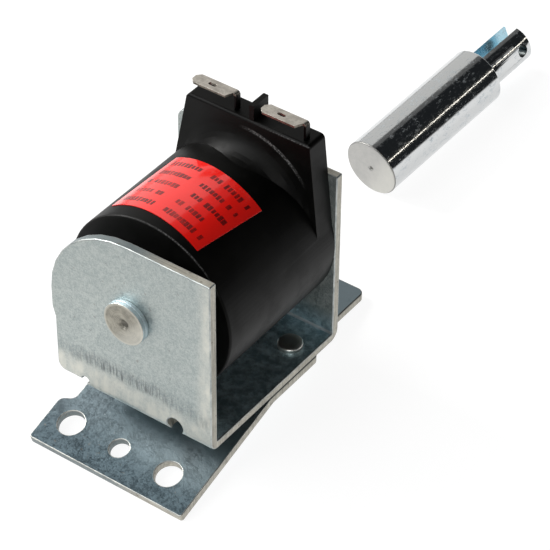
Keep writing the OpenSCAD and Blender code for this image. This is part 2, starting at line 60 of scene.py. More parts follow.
# Sizes of the unit, as in the part
AXIS_H = 38.3 * MM
COIL_R = 30.4 * MM
COIL_FRONT = 10 * MM
COIL_BACK = 64 * MM
FLANGE_FRONT = 56 * MM
SADDLE_R = 27 * MM
SADDLE_RISE = 11.7 * MM
SADDLE_X = 1.5 * MM
BLOCK_TOP = 80.5 * MM
BLADE_TOP = 86.5 * MM
FRAME_LEN = 67 * MM
SHEET = 3 * MM
BEND_MIDDLE = 3.6 * MM
BEND_END = BEND_MIDDLE + NEAR
PLATE_BEND_Y = 31.8 * MM
TAB_ANGLE = math.radians(16.6)
RIVET_RIGHT = Vector((22.8, 51.6, 0)) * MM
RIVET_STEP = (-33.6 * MM, 0, 0)
CORE_HEAD_R = 7.5 * MM
CORE_WASHER_T = 1.3 * MM

# Plunger lying on the floor: middle of its inner end, its own directions and its sizes
PLUNGER_START = Vector((-1, 34.56, 10.5)) * MM
PLUNGER_YAW = math.radians(5.5)
PLUNGER_ROLL = math.radians(20)
PLUNGER_R = 10.5 * MM
PLUNGER_BODY_LEN = 58 * MM
PLUNGER_END = 1.3 * MM
CLEVIS_SLOT = 6 * MM
CROSS_HOLE_Y = 75.4 * MM
CROSS_HOLE_R = 2.25 * MM
PLUNGER_TO_ROW = (
    Matrix.Translation(PLUNGER_START)
    @ Matrix.Rotation(-PLUNGER_YAW, 4, "Z")
    @ Matrix.Rotation(-PLUNGER_ROLL, 4, "Y")
)
ROW_TO_PLUNGER = PLUNGER_TO_ROW.inverted()

# Small roundings, which the part's source leaves to this script
FRAME_ROUND = 0.4 * MM
PLATE_ROUND = 0.3 * MM
COIL_ROUND = 0.35 * MM
BLADE_ROUND = 0.09 * MM


# Camera and light

SENSOR_MM = 36
LENS_MM = 170.18
CAMERA_AT = (0.37529, -0.47104, 0.62138)
CAMERA_TURN = (43.5787, 4.0091, 35.7085)

WARM_WHITE = (1, 0.99, 0.97)
MIDDLE = (0, 0, 0)

# Soft lights: name, place, aim, width and height in metres, power in watts and colour
LIGHTS = (
    ("left_wall", (-0.835, 0.835, 0.52), (-0.055, 0.055, -0.09), 1.75, 1.18, 4.72, WARM_WHITE),
    ("wall_fade", (-0.578, 0.578, 1.176), (0.202, -0.202, 0.566), 1.75, 0.32, 0.22, WARM_WHITE),
    ("left_side", (-1.45, -0.15, 0.95), MIDDLE, 0.6, 0.6, 32, WARM_WHITE),
    ("camera_key", (0.95, -1.5, 1.15), MIDDLE, 0.8, 0.8, 9, (1, 0.99, 0.98)),
    ("front_left", (-0.9, -1.1, 1.42), MIDDLE, 1.5, 1.5, 26, (0.98, 0.99, 1)),
    ("edge_strip", (1.2, 0.95, 0.76), (0, 0.07, 0.01), 0.6, 0.03, 0.35, (1, 0.93, 0.82)),
)
WORLD_COLOUR = (0.8, 0.9, 1, 1)
WORLD_STRENGTH = 0.02


def new_object(name, data):
    """Adds an object to the scene."""
    item = bpy.data.objects.new(name, data)
    bpy.context.collection.objects.link(item)
    return item


def place_camera():
    lens = bpy.data.cameras.new("camera")
    lens.sensor_width = SENSOR_MM
    lens.lens = LENS_MM
    lens.clip_start = 0.01
    camera = new_object("camera", lens)
    camera.location = CAMERA_AT
    camera.rotation_euler = [math.radians(angle) for angle in CAMERA_TURN]
    bpy.context.scene.camera = camera


def soft_light(name, at, aim, width, height, power, colour):
    light = bpy.data.lights.new(name, "AREA")
    light.shape = "RECTANGLE"
    light.size = width
    light.size_y = height
    light.energy = power
    light.color = colour
    lamp = new_object(name, light)
    lamp.location = at
    lamp.rotation_euler = (Vector(aim) - Vector(at)).to_track_quat("-Z", "Y").to_euler()


def light_studio():
    for light in LIGHTS:
        soft_light(*light)
    world = bpy.data.worlds.new("studio")
    world.use_nodes = True
    background = world.node_tree.nodes["Background"]
    background.inputs["Color"].default_value = WORLD_COLOUR
    background.inputs["Strength"].default_value = WORLD_STRENGTH
    bpy.context.scene.world = world
    bpy.context.scene.view_settings.view_transform = "Standard"


# Small helpers for node trees

def connect(tree, value, socket):
    """Links a value to a socket if it comes from one, and sets it if it is a plain value."""
    if isinstance(value, bpy.types.NodeSocket):
        tree.links.new(value, socket)
    else:
        socket.default_value = value


def add(tree, kind, ins=None, **settings):
    """Adds a node with its settings and with values for its inputs."""
    node = tree.nodes.new(kind)
    for name, value in settings.items():
        setattr(node, name, value)
    for name, value in (ins or {}).items():
        connect(tree, value, node.inputs[name])
    return node


def math_node(tree, operation, *values):
    return add(tree, "ShaderNodeMath", dict(enumerate(values)), operation=operation).outputs[0]


def multiply_add(tree, value, share, rest):
    return math_node(tree, "MULTIPLY_ADD", value, share, rest)


def product(tree, *values):
    result = values[0]
    for value in values[1:]:
        result = math_node(tree, "MULTIPLY", result, value)
    return result


def weighed(tree, first, first_share, second, second_share):
    """Sum of two values, each times its share."""
    return multiply_add(tree, first, first_share, product(tree, second, second_share))


def ramp(tree, value, low, high, to_low=0.0, to_high=1.0):
    """Value stretched from low..high to to_low..to_high, held at the ends."""
    ins = {"Value": value, "From Min": low, "From Max": high, "To Min": to_low, "To Max": to_high}
    return add(tree, "ShaderNodeMapRange", ins, interpolation_type="SMOOTHSTEP").outputs[0]


def ramp_mm(tree, value, low, high, to_low=0.0, to_high=1.0):
    """Ramp over a length, with low and high in millimetres."""
    return ramp(tree, value, low * MM, high * MM, to_low, to_high)


def band(tree, value, start, full, fade, end):
    """1 from full to fade, falling to 0 at start and at end."""
    return product(tree, ramp(tree, value, start, full), ramp(tree, value, fade, end, 1, 0))


def mix_colour(tree, factor, first, second):
    ins = {0: factor, 6: first, 7: second}
    return add(tree, "ShaderNodeMix", ins, data_type="RGBA").outputs[2]


def noise(tree, vector, scale, detail, roughness, distortion=0.0):
    ins = {"Vector": vector, "Scale": scale, "Detail": detail, "Roughness": roughness,
           "Distortion": distortion}
    return add(tree, "ShaderNodeTexNoise", ins).outputs[0]


def rgb(red, green, blue):
    return (red, green, blue, 1.0)


def own_place(tree, to_own):
    """Object coordinates turned into the own directions of the unit or of the plunger."""
    place, turn, _ = to_own.decompose()
    coords = add(tree, "ShaderNodeTexCoord").outputs["Object"]
    ins = {"Vector": coords, "Location": place, "Rotation": turn.to_euler()}
    return add(tree, "ShaderNodeMapping", ins).outputs[0]


def stretched(tree, vector, scale):
    return add(tree, "ShaderNodeMapping", {"Vector": vector, "Scale": scale}).outputs[0]


def split(tree, vector):
    return add(tree, "ShaderNodeSeparateXYZ", {0: vector}).outputs[:3]


def reach(tree, side, rise):
    """Distance from an axis, from the two distances across it."""
    return math_node(tree, "SQRT", multiply_add(tree, side, side, product(tree, rise, rise)))


def new_group(name, inputs, outputs):
    """Empty shader group with float or vector inputs and float outputs."""
    tree = bpy.data.node_groups.new(name, "ShaderNodeTree")
    for label, default in inputs:
        kind = "NodeSocketVector" if default is None else "NodeSocketFloat"
        socket = tree.interface.new_socket(name=label, in_out="INPUT", socket_type=kind)
        if default is not None:
            socket.default_value = default
    for label in outputs:
        tree.interface.new_socket(name=label, in_out="OUTPUT", socket_type="NodeSocketFloat")
    return tree, tree.nodes.new("NodeGroupInput").outputs, tree.nodes.new("NodeGroupOutput").inputs


def use_group(tree, group, **ins):
    node = tree.nodes.new("ShaderNodeGroup")
    node.node_tree = group
    for name, value in ins.items():
        connect(tree, value, node.inputs[name.replace("_", " ")])
    return node.outputs


# Shared effects

def make_plating_group():
    """Cloudy zinc plating: large clouds, fine grain and a few dark specks."""
    tree, ins, outs = new_group(
        "plating", [("Vector", None), ("Cloud Scale", 90), ("Grain Scale", 900)],
        ["Clouds", "Grain", "Specks"])
    cloud = noise(tree, ins["Vector"], ins["Cloud Scale"], 6, 0.66, 0.35)
    grain = noise(tree, ins["Vector"], ins["Grain Scale"], 3, 0.6)
    spot_scale = product(tree, ins["Grain Scale"], 0.42)
    spot = noise(tree, ins["Vector"], spot_scale, 1, 0.5)
    tree.links.new(ramp(tree, cloud, 0.32, 0.68), outs["Clouds"])
    tree.links.new(ramp(tree, grain, 0.25, 0.75), outs["Grain"])
    tree.links.new(ramp(tree, spot, 0.69, 0.76), outs["Specks"])
    return tree


def make_scratch_group():
    """Fine scratches along one direction of a vector that is already stretched."""
    tree, ins, outs = new_group("scratches", [("Vector", None), ("Amount", 0.5)], ["Lines"])
    lines = noise(tree, ins["Vector"], 1, 4, 0.75, 0.1)
    patches = noise(tree, ins["Vector"], 0.13, 2, 0.5)
    start = ramp(tree, ins["Amount"], 0, 1, 0.74, 0.5)
    end = math_node(tree, "ADD", start, 0.06)
    mask = add(tree, "ShaderNodeMapRange", {"Value": lines, "From Min": start, "From Max": end})
    patchy = ramp(tree, patches, 0.4, 0.6)
    tree.links.new(product(tree, mask.outputs[0], patchy), outs["Lines"])
    return tree


def make_turning_group():
    """Rings left by a lathe on a flat face, from the distance to the middle."""
    tree, ins, outs = new_group("turning", [("Radius", 0.0), ("Rings", 6000.0)], ["Rings"])
    steps = add(tree, "ShaderNodeTexNoise",
                {"W": ins["Radius"], "Scale": ins["Rings"], "Detail": 3},
                noise_dimensions="1D").outputs[0]
    tree.links.new(ramp(tree, steps, 0.3, 0.7), outs["Rings"])
    return tree


def make_mould_group():
    """Fine eroded skin of a mould, with faint rubbed marks."""
    tree, ins, outs = new_group("mould_skin", [("Vector", None), ("Scale", 2600)], ["Skin", "Rub"])
    skin = noise(tree, ins["Vector"], ins["Scale"], 2, 0.6)
    rub_scale = product(tree, ins["Scale"], 0.035)
    rub = noise(tree, ins["Vector"], rub_scale, 4, 0.6)
    tree.links.new(skin, outs["Skin"])
    tree.links.new(ramp(tree, rub, 0.35, 0.7), outs["Rub"])
    return tree


PLATING = make_plating_group()
SCRATCHES = make_scratch_group()
TURNING = make_turning_group()
MOULD_SKIN = make_mould_group()


# Materials

PAINTED_LIGHT_ZINC = rgb(0.7, 0.69, 0.62)
SMEAR_GREY = rgb(0.12, 0.13, 0.135)
SLATE_DARK = rgb(0.32, 0.45, 0.5)
SLATE_LIGHT = rgb(0.74, 0.9, 0.95)
BEND_PAINTED_HIGHLIGHT = rgb(0.8, 0.86, 0.88)
PLATE_PAINTED_LIGHT = rgb(0.33, 0.4, 0.43)
CHIP_BRIGHT = rgb(0.6, 0.66, 0.69)
SPOT_DULL = rgb(0.07, 0.1, 0.12)
ROLLED_GREY = rgb(0.2, 0.21, 0.21)
SPECK_DARK = rgb(0.2, 0.19, 0.17)
EDGE_COOL = rgb(0.15, 0.19, 0.205)
FLECK_BROWN = rgb(0.15, 0.13, 0.1)
SEAM_PAINTED_SHADE = rgb(0.05, 0.055, 0.05)
PAINTED_HIGHLIGHT_GREY = rgb(0.15, 0.15, 0.148)
LEG_PAINTED_SHADE = rgb(0.005, 0.005, 0.005)
TURNED_PAINTED_REFLECTION = rgb(0.8, 0.79, 0.72)
DIMPLE_PAINTED_SHADE = rgb(0.13, 0.125, 0.11)
CLOUD_GREY = rgb(0.58, 0.6, 0.61)
SMEAR_BLUE = rgb(0.4, 0.47, 0.52)
SHOULDER_PAINTED_HIGHLIGHT = rgb(0.8, 0.82, 0.82)


def new_material(name, **plain):
    material = bpy.data.materials.new(name)
    material.use_nodes = True
    tree = material.node_tree
    shader = tree.nodes["Principled BSDF"]
    for socket, value in plain.items():
        shader.inputs[socket.replace("_", " ")].default_value = value
    return material, tree, shader


def feed(tree, shader, **sockets):
    for name, value in sockets.items():
        tree.links.new(value, shader.inputs[name.replace("_", " ")])


def bump(tree, height, strength, distance):
    ins = {"Height": height, "Strength": strength, "Distance": distance}
    return add(tree, "ShaderNodeBump", ins).outputs[0]


def frame_marks_and_painted_light(tree, place, colour, rough):
    """Marks and painted light on the frame: in front a pale warm painted highlight zone and dark
    smears, inside a slate base with a painted highlight line in its rear bend."""
    x, y, z = split(tree, place)
    front = ramp_mm(tree, y, 0.9, 1.2, 1, 0)
    drift = noise(tree, stretched(tree, place, (60, 10, 25)), 1, 3, 0.6)
    ragged_x = multiply_add(tree, drift, 6 * MM, x)
    ragged_z = multiply_add(tree, drift, 9 * MM, z)

    # Painted highlight: a pale warm zone, low on the front plate and along its right edge
    low = product(tree, front, ramp_mm(tree, ragged_z, 12, 18, 1, 0))
    side = product(tree, front, ramp_mm(tree, ragged_x, 27, 33))
    warm = math_node(tree, "MAXIMUM", low, side)
    patches = noise(tree, stretched(tree, place, (260, 40, 130)), 1, 4, 0.6)
    patchy = ramp(tree, patches, 0.35, 0.65, 0.35, 0.85)
    colour = mix_colour(tree, product(tree, warm, patchy), colour, PAINTED_LIGHT_ZINC)

    # Row of dark smears above it, strongest in the middle
    streaks = noise(tree, stretched(tree, place, (1500, 100, 130)), 1, 5, 0.75)
    row = band(tree, ragged_z, 14.5 * MM, 16.5 * MM, 18 * MM, 22.5 * MM)
    middle = product(tree, ramp_mm(tree, x, -26, -12, 0.4, 1), ramp_mm(tree, x, 4, 20, 1, 0.5))
    smear = product(tree, row, ramp(tree, streaks, 0.4, 0.62), front, middle)
    colour = mix_colour(tree, product(tree, smear, 0.8), colour, SMEAR_GREY)

    # Slate tone on the base, and a painted highlight line in its rear bend
    inside = product(tree, ramp(tree, y, SHEET, SHEET + 0.3 * MM), ramp_mm(tree, z, 2.8, 3))
    on_base = product(tree, inside, ramp_mm(tree, z, 5, 14, 1, 0))
    mottle = ramp(tree, noise(tree, place, 300, 5, 0.68), 0.35, 0.68)
    slate = mix_colour(tree, mottle, SLATE_DARK, SLATE_LIGHT)
    colour = mix_colour(tree, on_base, colour, slate)
    back = FRAME_LEN - SHEET
    bend = product(tree, ramp(tree, y, back - 0.75 * MM, back - 0.45 * MM), inside,
                   ramp_mm(tree, z, 3.6, 3.9, 1, 0))
    colour = mix_colour(tree, product(tree, bend, 0.8), colour, BEND_PAINTED_HIGHLIGHT)
    return colour, multiply_add(tree, inside, 0.12, rough)


def plate_marks_and_painted_light(tree, place, colour, rough):
    """Marks and painted light on the mounting plate: painted light making it paler behind its front
    edge, small bright chips, dull spots.
    """
    x, y, _ = split(tree, place)
    # Painted light: paler towards the back of the tab and to the right, only half as pale at the
    # heel
    paler = product(tree, ramp_mm(tree, y, -12, 4, 0, 0.85), ramp_mm(tree, x, -12, 22, 0.45, 1),
                    ramp_mm(tree, y, 52, 66, 1, 0.5))
    colour = mix_colour(tree, paler, colour, PLATE_PAINTED_LIGHT)
    chips = ramp(tree, noise(tree, place, 1500, 1, 0.5), 0.73, 0.77)
    patches = ramp(tree, noise(tree, place, 60, 2, 0.5), 0.5, 0.62)
    colour = mix_colour(tree, product(tree, chips, patches, 0.45), colour, CHIP_BRIGHT)
    spots = ramp(tree, noise(tree, place, 330, 2, 0.6), 0.6, 0.7)
    colour = mix_colour(tree, product(tree, spots, 0.16), colour, SPOT_DULL)
    return colour, rough


def zinc_sheet(name, dark, light, rough_low, rough_high, cloud_share, marks):
    """Zinc-plated sheet: clouds of two sizes, grain, rolled lines and specks, and its own marks and
    painted light.
    """
    material, tree, shader = new_material(name, Metallic=1.0)
    place = own_place(tree, ROW_TO_UNIT)
    broad = use_group(tree, PLATING, Vector=place, Cloud_Scale=110, Grain_Scale=1300)
    fine = use_group(tree, PLATING, Vector=place, Cloud_Scale=520, Grain_Scale=1700)
    lines = stretched(tree, place, (1500, 1500, 260))
    rolled = use_group(tree, SCRATCHES, Vector=lines, Amount=0.55)["Lines"]
    clouds = weighed(tree, fine["Clouds"], 0.32, broad["Clouds"], cloud_share)
    tone = ramp(tree, multiply_add(tree, fine["Grain"], 0.68 - cloud_share, clouds), 0.2, 0.8)
    colour = mix_colour(tree, tone, dark, light)
    colour = mix_colour(tree, product(tree, rolled, 0.3), colour, ROLLED_GREY)
    colour = mix_colour(tree, product(tree, broad["Specks"], 0.45), colour, SPECK_DARK)
    rough = ramp(tree, tone, 0, 1, rough_low, rough_high)
    colour, rough = marks(tree, place, colour, rough)
    feed(tree, shader, Base_Color=colour, Roughness=rough,
         Normal=bump(tree, tone, 0.16, 0.1 * MM))
    return material


def painted_seam_shade(tree, place, colour):
    """Colour with painted shade along the line where the frame lies on the mounting plate."""
    away = math_node(tree, "ABSOLUTE", split(tree, place)[2])
    return mix_colour(tree, ramp_mm(tree, away, 0.25, 0.7, 0.85, 0), colour, SEAM_PAINTED_SHADE)


def sheared_edge(name, light, dark):
    """Cut edge of plated sheet: warm, cooler on the left, with lines along the sheet, painted
    shade along the seam and a few dark flecks."""
    material, tree, shader = new_material(name, Metallic=0.75)
    place = own_place(tree, ROW_TO_UNIT)
    plating = use_group(tree, PLATING, Vector=place, Cloud_Scale=220, Grain_Scale=1500)
    layers = noise(tree, stretched(tree, place, (90, 2400, 90)), 1, 3, 0.6)
    tone = weighed(tree, ramp(tree, layers, 0.35, 0.65), 0.6, plating["Clouds"], 0.4)
    colour = mix_colour(tree, tone, dark, light)
    left = ramp_mm(tree, split(tree, place)[0], 2, 16, 1, 0)
    colour = mix_colour(tree, product(tree, left, 0.85), colour, EDGE_COOL)
    # Painted shade along the seam on the plate
    colour = painted_seam_shade(tree, place, colour)
    colour = mix_colour(tree, product(tree, plating["Specks"], 0.7), colour, FLECK_BROWN)
    feed(tree, shader, Base_Color=colour,
         Roughness=ramp(tree, plating["Grain"], 0, 1, 0.38, 0.6),
         Normal=bump(tree, plating["Grain"], 0.25, 0.08 * MM))
    return material


def rubbed_corner(name, dark, light):
    """Rounded corner between face and edge, rubbed bright, with painted shade along the seam."""
    material, tree, shader = new_material(name, Metallic=1.0)
    place = own_place(tree, ROW_TO_UNIT)
    plating = use_group(tree, PLATING, Vector=place, Cloud_Scale=160, Grain_Scale=1300)
    colour = mix_colour(tree, plating["Clouds"], dark, light)
    feed(tree, shader, Base_Color=painted_seam_shade(tree, place, colour),
         Roughness=ramp(tree, plating["Grain"], 0, 1, 0.36, 0.52))
    return material


def black_moulding():
    """Black moulding, with speckled painted highlights on the saddle's edge, the block's front
    edge and the coil's front rim."""
    material, tree, shader = new_material("black_moulding", IOR=1.5, Specular_IOR_Level=0.125)
    place = own_place(tree, ROW_TO_UNIT)
    skin = use_group(tree, MOULD_SKIN, Vector=place, Scale=2400)
    colour = mix_colour(tree, skin["Rub"], rgb(0.0008, 0.0008, 0.0007), rgb(0.0024, 0.0024, 0.002))
    x, y, z = split(tree, place)
    speckle = ramp(tree, skin["Skin"], 0.4, 0.62, 0.1, 0.9)

    def ring(across, up, radius, half):
        side = math_node(tree, "SUBTRACT", x, across)
        rise = math_node(tree, "SUBTRACT", z, AXIS_H + up)
        off = math_node(tree, "SUBTRACT", reach(tree, side, rise), radius)
        return ramp(tree, math_node(tree, "ABSOLUTE", off), half * 0.3, half, 1, 0)

    # Painted highlights on the saddle's edge, the block's front edge and the coil's front rim
    saddle = product(tree, ring(SADDLE_X, SADDLE_RISE, SADDLE_R, 0.8 * MM),
                     ramp(tree, y, FLANGE_FRONT - 1.3 * MM, FLANGE_FRONT - 0.7 * MM),
                     band(tree, x, -1 * MM, 7 * MM, 17 * MM, 25 * MM))
    block = product(tree, band(tree, z, BLOCK_TOP - 0.8 * MM, BLOCK_TOP - 0.6 * MM,
                               BLOCK_TOP - 0.5 * MM, BLOCK_TOP - 0.3 * MM),
                    ramp(tree, y, FLANGE_FRONT + 0.5 * MM, FLANGE_FRONT + 0.8 * MM, 1, 0),
                    ramp_mm(tree, x, 2, 20, 0, 0.6))
    rim = product(tree, ring(0, 0, COIL_R - 0.2 * MM, 0.2 * MM),
                  ramp(tree, y, COIL_FRONT + 0.5 * MM, COIL_FRONT + 0.8 * MM, 1, 0),
                  ramp_mm(tree, x, -8, 12, 0.1, 0.7), ramp_mm(tree, x, 23, 27, 1, 0))
    edges = math_node(tree, "MAXIMUM", saddle, math_node(tree, "MAXIMUM", block, rim))
    colour = mix_colour(tree, product(tree, edges, speckle), colour, PAINTED_HIGHLIGHT_GREY)
    feed(tree, shader, Base_Color=colour,
         Roughness=ramp(tree, skin["Rub"], 0, 1, 0.42, 0.52),
         Normal=bump(tree, skin["Skin"], 0.22, 0.06 * MM))
    return material


def label_red():
    """Glossy red film."""
    material, tree, shader = new_material("label_red", IOR=1.55, Coat_Roughness=0.05)
    place = own_place(tree, ROW_TO_UNIT)
    skin = use_group(tree, MOULD_SKIN, Vector=place, Scale=900)
    colour = mix_colour(tree, skin["Rub"], rgb(0.84, 0.01, 0.006), rgb(0.92, 0.013, 0.008))
    feed(tree, shader, Base_Color=colour, Roughness=ramp(tree, skin["Rub"], 0, 1, 0.14, 0.2),
         Coat_Weight=ramp(tree, skin["Rub"], 0, 1, 0.7, 0.85),
         Normal=bump(tree, skin["Rub"], 0.05, 0.05 * MM))
    return material


def label_ink():
    """Dark red print on the film."""
    material, tree, shader = new_material("label_ink", IOR=1.5, Coat_Roughness=0.08)
    place = own_place(tree, ROW_TO_UNIT)
    skin = use_group(tree, MOULD_SKIN, Vector=place, Scale=4000)
    colour = mix_colour(tree, skin["Rub"], rgb(0.14, 0.004, 0.004), rgb(0.38, 0.007, 0.005))
    feed(tree, shader, Base_Color=colour, Roughness=ramp(tree, skin["Skin"], 0, 1, 0.2, 0.34),
         Coat_Weight=ramp(tree, skin["Rub"], 0, 1, 0.3, 0.45))
    return material


def tinned_blade(name, dark, light):
    """Tinned brass, brushed along the blade, with painted shade making its leg black in the block.
    """
    material, tree, shader = new_material(name, Metallic=1.0)
    place = own_place(tree, ROW_TO_UNIT)
    brush = noise(tree, stretched(tree, place, (180, 2600, 2600)), 1, 4, 0.65)
    plating = use_group(tree, PLATING, Vector=place, Cloud_Scale=420, Grain_Scale=2600)
    tone = weighed(tree, brush, 0.6, plating["Clouds"], 0.4)
    colour = mix_colour(tree, ramp(tree, tone, 0.2, 0.8), dark, light)
    height = split(tree, place)[2]
    # Painted shade: the leg black below the blade
    leg = ramp(tree, height, BLADE_TOP - 1.2 * MM, BLADE_TOP - 0.5 * MM, 1, 0)
    colour = mix_colour(tree, leg, colour, LEG_PAINTED_SHADE)
    feed(tree, shader, Base_Color=colour, Roughness=ramp(tree, brush, 0.2, 0.8, 0.3, 0.46),
         Normal=bump(tree, brush, 0.12, 0.05 * MM))
    return material


def turned_steel(name, to_own, axis_h, dark, light, edge_from, edge_r, painted_edge_tone, dimple_r,
                 rough, ring_depth):
    """Turned face round an axis along Y: rings, painted reflection warmer to the lower right, a
    painted edge reflection of its own tone and painted shade in the dimple in the middle."""
    material, tree, shader = new_material(name, Metallic=1.0)
    place = own_place(tree, to_own)
    x, _, z = split(tree, place)
    up = math_node(tree, "SUBTRACT", z, axis_h)
    radius = reach(tree, x, up)
    rings = use_group(tree, TURNING, Radius=radius, Rings=5200)["Rings"]
    plating = use_group(tree, PLATING, Vector=place, Cloud_Scale=260, Grain_Scale=1500)
    tone = weighed(tree, rings, 0.45, plating["Clouds"], 0.55)
    colour = mix_colour(tree, tone, dark, light)
    # Painted reflection: warmer and lighter towards the lower right
    lower_right = math_node(tree, "SUBTRACT", x, up)
    warm = ramp(tree, lower_right, -edge_r * 0.2, edge_r, 0, 0.35)
    colour = mix_colour(tree, warm, colour, TURNED_PAINTED_REFLECTION)
    # Painted reflection on the edge: a light line on the core's head, a dark line on the plunger's
    # face
    edge = ramp(tree, radius, edge_from, (edge_from + edge_r) / 2, 0, 0.6)
    colour = mix_colour(tree, edge, colour, painted_edge_tone)
    # Painted shade in the centre mark
    dimple = ramp(tree, radius, dimple_r * 0.75, dimple_r, 0.7, 0)
    colour = mix_colour(tree, dimple, colour, DIMPLE_PAINTED_SHADE)
    feed(tree, shader, Base_Color=colour,
         Roughness=ramp(tree, tone, 0, 1, rough, rough + 0.14),
         Normal=bump(tree, rings, ring_depth, 0.04 * MM))
    return material


def bright_plating(name, tint, rough, to_own, smear_scale, dull=1.0, shoulder_y=None):
    """Bright plated steel with dull smears and fine scratches along the piece, and a painted
    highlight line on the edge of its shoulder if it has one."""
    material, tree, shader = new_material(name, Metallic=1.0)
    place = own_place(tree, to_own)
    plating = use_group(tree, PLATING, Vector=place, Cloud_Scale=smear_scale, Grain_Scale=1800)
    long_way = stretched(tree, place, (1.0, 0.45, 1.0))
    blotch = ramp(tree, noise(tree, long_way, smear_scale * 10, 4, 0.65, 0.5), 0.48, 0.7)
    along = stretched(tree, place, (900, 260, 900))
    lines = use_group(tree, SCRATCHES, Vector=along, Amount=0.45)["Lines"]
    smear = product(tree, blotch, ramp(tree, plating["Clouds"], 0.1, 0.8, 0.15, 1), dull)
    colour = mix_colour(tree, product(tree, plating["Clouds"], 0.35), tint, CLOUD_GREY)
    shine = multiply_add(tree, lines, 0.25, multiply_add(tree, smear, 0.3, rough))
    colour = mix_colour(tree, product(tree, smear, 0.6), colour, SMEAR_BLUE)
    metallic = ramp(tree, smear, 0, 1, 1, 0.75)
    if shoulder_y is not None:
        # Painted highlight on the edge of the shoulder
        edge = band(tree, split(tree, place)[1], shoulder_y - 0.7 * MM, shoulder_y - 0.45 * MM,
                    shoulder_y, shoulder_y + 0.1 * MM)
        colour = mix_colour(tree, edge, colour, SHOULDER_PAINTED_HIGHLIGHT)
        metallic = multiply_add(tree, edge, -0.6, metallic)
    feed(tree, shader, Base_Color=colour, Roughness=shine, Metallic=metallic,
         Normal=bump(tree, math_node(tree, "MAXIMUM", lines, smear), 0.035, 0.03 * MM))
    return material


def fine_metal(name, dark, light, rough, scale):
    """Plain metal, drawn, wound or bored along one direction, with slight tarnish."""
    material, tree, shader = new_material(name, Metallic=1.0)
    place = own_place(tree, ROW_TO_UNIT)
    drawn = noise(tree, stretched(tree, place, scale), 1, 4, 0.65)
    plating = use_group(tree, PLATING, Vector=place, Cloud_Scale=150, Grain_Scale=1200)
    tone = weighed(tree, drawn, 0.5, plating["Clouds"], 0.5)
    feed(tree, shader, Base_Color=mix_colour(tree, tone, dark, light),
         Roughness=ramp(tree, tone, 0, 1, rough, rough + 0.15),
         Normal=bump(tree, drawn, 0.15, 0.05 * MM))
    return material


def plain_insulation(name, dark, light, rough):
    """Nylon, tape or sleeving: a faint cloud and a fine skin."""
    material, tree, shader = new_material(name, IOR=1.5)
    place = own_place(tree, ROW_TO_UNIT)
    skin = use_group(tree, MOULD_SKIN, Vector=place, Scale=1800)
    feed(tree, shader, Base_Color=mix_colour(tree, skin["Rub"], dark, light),
         Roughness=ramp(tree, skin["Skin"], 0, 1, rough, rough + 0.15),
         Normal=bump(tree, skin["Skin"], 0.2, 0.05 * MM))
    return material


def floor_white():
    """White paper that glows round the part, and hardly away from it."""
    material, tree, shader = new_material("floor_white", Roughness=0.9, Emission_Strength=0.9)
    place = add(tree, "ShaderNodeTexCoord").outputs["Object"]
    paper = noise(tree, place, 40, 3, 0.5)
    away = add(tree, "ShaderNodeVectorMath", {0: place}, operation="LENGTH").outputs["Value"]
    pool = ramp(tree, away, 0.2, 0.5, 1, 0.06)
    feed(tree, shader,
         Base_Color=mix_colour(tree, paper, rgb(0.16, 0.16, 0.16), rgb(0.18, 0.18, 0.18)),
         Emission_Color=mix_colour(tree, pool, rgb(0, 0, 0), rgb(1, 1, 1)))
    return material


ZINC_FRAME = zinc_sheet("zinc_frame", rgb(0.315, 0.357, 0.352), rgb(0.51, 0.548, 0.528),
                        rough_low=0.36, rough_high=0.5, cloud_share=0.16, marks=frame_marks_and_painted_light)
ZINC_PLATE = zinc_sheet("zinc_plate", rgb(0.074, 0.103, 0.121), rgb(0.114, 0.155, 0.178),
                        rough_low=0.34, rough_high=0.46, cloud_share=0.26, marks=plate_marks_and_painted_light)
CUT_EDGE = sheared_edge("cut_edge", rgb(0.56, 0.54, 0.47), rgb(0.3, 0.285, 0.245))
FRAME_CORNER = rubbed_corner("frame_corner", rgb(0.3, 0.33, 0.33), rgb(0.56, 0.58, 0.56))
PLATE_CORNER = rubbed_corner("plate_corner", rgb(0.28, 0.29, 0.28), rgb(0.6, 0.6, 0.56))
BLACK = black_moulding()
LABEL_RED = label_red()
LABEL_INK = label_ink()
BLADE = tinned_blade("tinned_blade", rgb(0.43, 0.4, 0.355), rgb(0.68, 0.64, 0.575))
BLADE_EDGE = tinned_blade("blade_edge", rgb(0.1, 0.088, 0.072), rgb(0.26, 0.235, 0.2))
CORE_FACE = turned_steel(
    "core_face", ROW_TO_UNIT, AXIS_H, dark=rgb(0.16, 0.152, 0.13), light=rgb(0.5, 0.475, 0.4),
    edge_from=6.6 * MM, edge_r=CORE_HEAD_R, painted_edge_tone=rgb(0.6, 0.585, 0.52), dimple_r=1.6 * MM,
    rough=0.36, ring_depth=0.4)
CORE_RIM = bright_plating("core_rim", rgb(0.62, 0.74, 0.79), 0.5, ROW_TO_UNIT, 300, dull=0.3)
RIVET = bright_plating("rivet_steel", rgb(0.8, 0.78, 0.72), 0.36, ROW_TO_UNIT, 300, dull=0.2)
PLUNGER_SKIN = bright_plating("bright_plunger", rgb(0.62, 0.63, 0.63), 0.1, ROW_TO_PLUNGER, 110,
                              dull=0.85, shoulder_y=PLUNGER_BODY_LEN)
PLUNGER_FACE = turned_steel(
    "plunger_face", ROW_TO_PLUNGER, 0, dark=rgb(0.4, 0.4, 0.385), light=rgb(0.53, 0.52, 0.5),
    edge_from=10.1 * MM, edge_r=PLUNGER_R, painted_edge_tone=rgb(0.06, 0.06, 0.06), dimple_r=0.8 * MM,
    rough=0.34, ring_depth=0.12)
SLOT_BLUE = bright_plating("slot_blue", rgb(0.355, 0.595, 0.705), 0.2, ROW_TO_PLUNGER, 200)
